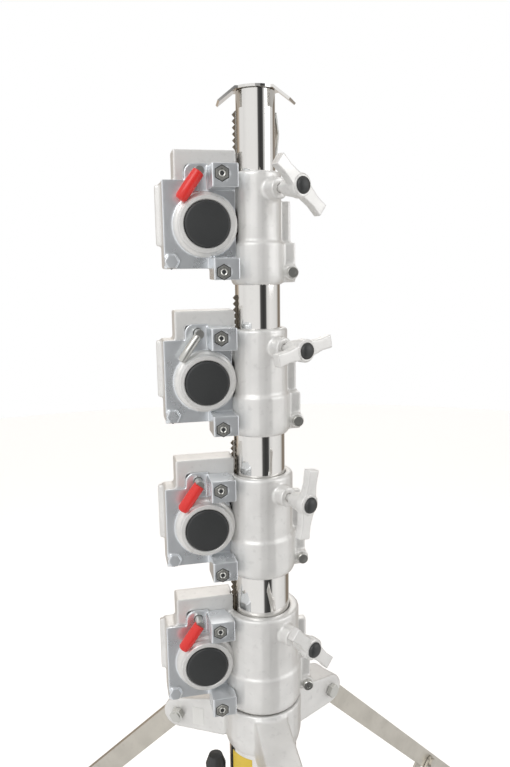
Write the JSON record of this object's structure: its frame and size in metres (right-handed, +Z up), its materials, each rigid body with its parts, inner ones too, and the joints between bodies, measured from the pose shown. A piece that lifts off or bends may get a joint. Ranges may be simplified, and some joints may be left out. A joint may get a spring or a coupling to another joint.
{
  "type": "crank-up lighting stand",
  "caption": "Crank-up stand with telescoping geared risers, a gearbox and tube lock on each, and folding braced legs.",
  "frame": {"origin": "centre of the footprint on the floor", "axes": "+Z up along the column, -Y the front where the gear covers face, +X the side of the clamping ears"},
  "size_m": [1.5936, 1.3855, 1.547],
  "materials": {
    "chrome_tube": "mirror chrome",
    "cast_aluminium": "bead-blasted casting",
    "machined_aluminium": "machined, satin",
    "zinc_steel": "zinc plated",
    "black_plastic": "matte",
    "black_rubber": "matte"
  },
  "bodies": {
    "root": {"column_tube": "chrome_tube", "column_plug": "black_plastic", "leg_hub": "cast_aluminium", "leg_pivot_bolt_1": "zinc_steel", "leg_pivot_bolt_2": "zinc_steel", "leg_pivot_bolt_3": "zinc_steel", "crank_clip": "zinc_steel", "collar_4": "cast_aluminium", "gear_cover_4": "machined_aluminium", "dust_cap_4": "black_plastic", "ear_bolt_4": "zinc_steel"},
    "section_4": {"riser_tube_4": "chrome_tube", "rack_4": "zinc_steel", "collar_3": "cast_aluminium", "gear_cover_3": "machined_aluminium", "dust_cap_3": "black_plastic", "ear_bolt_3": "zinc_steel"},
    "section_3": {"riser_tube_3": "chrome_tube", "rack_3": "zinc_steel", "collar_2": "cast_aluminium", "gear_cover_2": "machined_aluminium", "dust_cap_2": "black_plastic", "ear_bolt_2": "zinc_steel"},
    "section_2": {"riser_tube_2": "chrome_tube", "rack_2": "zinc_steel", "collar_1": "cast_aluminium", "gear_cover_1": "machined_aluminium", "dust_cap_1": "black_plastic", "ear_bolt_1": "zinc_steel"},
    "section_1": {"riser_tube_1": "chrome_tube", "rack_1": "zinc_steel", "head_plate": "zinc_steel", "spigot_sleeve": "zinc_steel", "spigot_spring": "zinc_steel"},
    "gear_1": {"drive_gear_1": "zinc_steel"},
    "lever_1": {"pawl_lever_1": "zinc_steel"},
    "handle_1": {"lock_handle_1": "cast_aluminium"},
    "gear_2": {"drive_gear_2": "zinc_steel"},
    "lever_2": {"pawl_lever_2": "zinc_steel"},
    "handle_2": {"lock_handle_2": "cast_aluminium"},
    "gear_3": {"drive_gear_3": "zinc_steel"},
    "lever_3": {"pawl_lever_3": "zinc_steel"},
    "handle_3": {"lock_handle_3": "cast_aluminium"},
    "gear_4": {"drive_gear_4": "zinc_steel"},
    "lever_4": {"pawl_lever_4": "zinc_steel"},
    "handle_4": {"lock_handle_4": "cast_aluminium"},
    "leg_body_1": {"leg_1": "zinc_steel", "foot_1": "black_rubber"},
    "brace_body_1": {"brace_1": "zinc_steel"},
    "leg_body_2": {"leg_2": "zinc_steel", "foot_2": "black_rubber"},
    "brace_body_2": {"brace_2": "zinc_steel"},
    "leg_body_3": {"leg_3": "zinc_steel", "foot_3": "black_rubber"},
    "brace_body_3": {"brace_3": "zinc_steel"},
    "spreader": {"spreader_collar": "cast_aluminium"},
    "spreader_handle": {"spreader_lock": "cast_aluminium"},
    "crank": {"crank_arm": "zinc_steel"},
    "grip": {"crank_grip": "black_plastic"}
  },
  "joints": [
    {"name": "riser_4_lift", "type": "slide", "parent": "root", "child": "section_4", "axis": [0, 0, 1], "range_m": [0, 0.6]},
    {"name": "riser_3_lift", "type": "slide", "parent": "section_4", "child": "section_3", "axis": [0, 0, 1], "range_m": [0, 0.6]},
    {"name": "riser_2_lift", "type": "slide", "parent": "section_3", "child": "section_2", "axis": [0, 0, 1], "range_m": [0, 0.6]},
    {"name": "riser_1_lift", "type": "slide", "parent": "section_2", "child": "section_1", "axis": [0, 0, 1], "range_m": [0, 0.6]},
    {"name": "gear_1_spin", "type": "hinge", "parent": "section_2", "child": "gear_1", "pos_m": [-0.0561, 0.22425, 1.413], "axis": [0, 1, 0], "continuous": true},
    {"name": "lever_1_release", "type": "hinge", "parent": "section_2", "child": "lever_1", "pos_m": [-0.0626, 0.22425, 1.4635], "axis": [0, 1, 0], "range_deg": [0, 40]},
    {"name": "handle_1_turn", "type": "hinge", "parent": "section_2", "child": "handle_1", "pos_m": [0.02724, 0.17079, 1.4473], "axis": [0.454, -0.891, 0], "range_deg": [-180, 180]},
    {"name": "gear_2_spin", "type": "hinge", "parent": "section_3", "child": "gear_2", "pos_m": [-0.0601, 0.22425, 1.254], "axis": [0, 1, 0], "continuous": true},
    {"name": "lever_2_release", "type": "hinge", "parent": "section_3", "child": "lever_2", "pos_m": [-0.0666, 0.22425, 1.3045], "axis": [0, 1, 0], "range_deg": [0, 40]},
    {"name": "handle_2_turn", "type": "hinge", "parent": "section_3", "child": "handle_2", "pos_m": [0.02906, 0.16723, 1.2883], "axis": [0.454, -0.891, 0], "range_deg": [-180, 180]},
    {"name": "gear_3_spin", "type": "hinge", "parent": "section_4", "child": "gear_3", "pos_m": [-0.0641, 0.22425, 1.095], "axis": [0, 1, 0], "continuous": true},
    {"name": "lever_3_release", "type": "hinge", "parent": "section_4", "child": "lever_3", "pos_m": [-0.0706, 0.22425, 1.1455], "axis": [0, 1, 0], "range_deg": [0, 40]},
    {"name": "handle_3_turn", "type": "hinge", "parent": "section_4", "child": "handle_3", "pos_m": [0.03087, 0.16366, 1.1293], "axis": [0.454, -0.891, 0], "range_deg": [-180, 180]},
    {"name": "gear_4_spin", "type": "hinge", "parent": "root", "child": "gear_4", "pos_m": [-0.0681, 0.22425, 0.936], "axis": [0, 1, 0], "continuous": true},
    {"name": "lever_4_release", "type": "hinge", "parent": "root", "child": "lever_4", "pos_m": [-0.0746, 0.22425, 0.9865], "axis": [0, 1, 0], "range_deg": [0, 40]},
    {"name": "handle_4_turn", "type": "hinge", "parent": "root", "child": "handle_4", "pos_m": [0.03269, 0.1601, 0.9703], "axis": [0.454, -0.891, 0], "range_deg": [-180, 180]},
    {"name": "leg_1_fold", "type": "hinge", "parent": "root", "child": "leg_body_1", "pos_m": [0, 0.12325, 0.84], "axis": [1, 0, 0], "range_deg": [0, 41]},
    {"name": "brace_1_swing", "type": "hinge", "parent": "leg_body_1", "child": "brace_body_1", "pos_m": [0, -0.13131, 0.58544], "axis": [1, 0, 0], "range_deg": [-82, 0]},
    {"name": "leg_2_fold", "type": "hinge", "parent": "root", "child": "leg_body_2", "pos_m": [0.08747, 0.27475, 0.84], "axis": [-0.5, 0.866, 0], "range_deg": [0, 41]},
    {"name": "brace_2_swing", "type": "hinge", "parent": "leg_body_2", "child": "brace_body_2", "pos_m": [0.30792, 0.40203, 0.58544], "axis": [-0.5, 0.866, 0], "range_deg": [-82, 0]},
    {"name": "leg_3_fold", "type": "hinge", "parent": "root", "child": "leg_body_3", "pos_m": [-0.08747, 0.27475, 0.84], "axis": [-0.5, -0.866, 0], "range_deg": [0, 41]},
    {"name": "brace_3_swing", "type": "hinge", "parent": "leg_body_3", "child": "brace_body_3", "pos_m": [-0.30792, 0.40203, 0.58544], "axis": [-0.5, -0.866, 0], "range_deg": [-82, 0]},
    {"name": "spreader_slide", "type": "slide", "parent": "root", "child": "spreader", "axis": [0, 0, -1], "range_m": [0, 0.20913]},
    {"name": "spreader_handle_turn", "type": "hinge", "parent": "spreader", "child": "spreader_handle", "pos_m": [0.06928, 0.18425, 0.33088], "axis": [0.866, -0.5, 0], "range_deg": [-180, 180]},
    {"name": "crank_unclip", "type": "slide", "parent": "root", "child": "crank", "axis": [-0.9848, 0.1736, 0], "range_m": [0, 0.06]},
    {"name": "grip_spin", "type": "hinge", "parent": "crank", "child": "grip", "pos_m": [-0.05613, 0.23415, 0.701], "axis": [0, 0, 1], "continuous": true}
  ],
  "couplings": [
    {"joint": "gear_1_spin", "follows": "riser_1_lift", "rad_per_m": -29.412},
    {"joint": "gear_2_spin", "follows": "riser_2_lift", "rad_per_m": -29.412},
    {"joint": "gear_3_spin", "follows": "riser_3_lift", "rad_per_m": -29.412},
    {"joint": "gear_4_spin", "follows": "riser_4_lift", "rad_per_m": -29.412},
    {"joint": "brace_1_swing", "follows": "leg_1_fold", "ratio": -2},
    {"joint": "brace_2_swing", "follows": "leg_1_fold", "ratio": -2},
    {"joint": "leg_2_fold", "follows": "leg_1_fold", "ratio": 1},
    {"joint": "brace_3_swing", "follows": "leg_1_fold", "ratio": -2},
    {"joint": "leg_3_fold", "follows": "leg_1_fold", "ratio": 1},
    {"joint": "spreader_slide", "follows": "leg_1_fold", "m_per_rad": 0.29225}
  ]
}
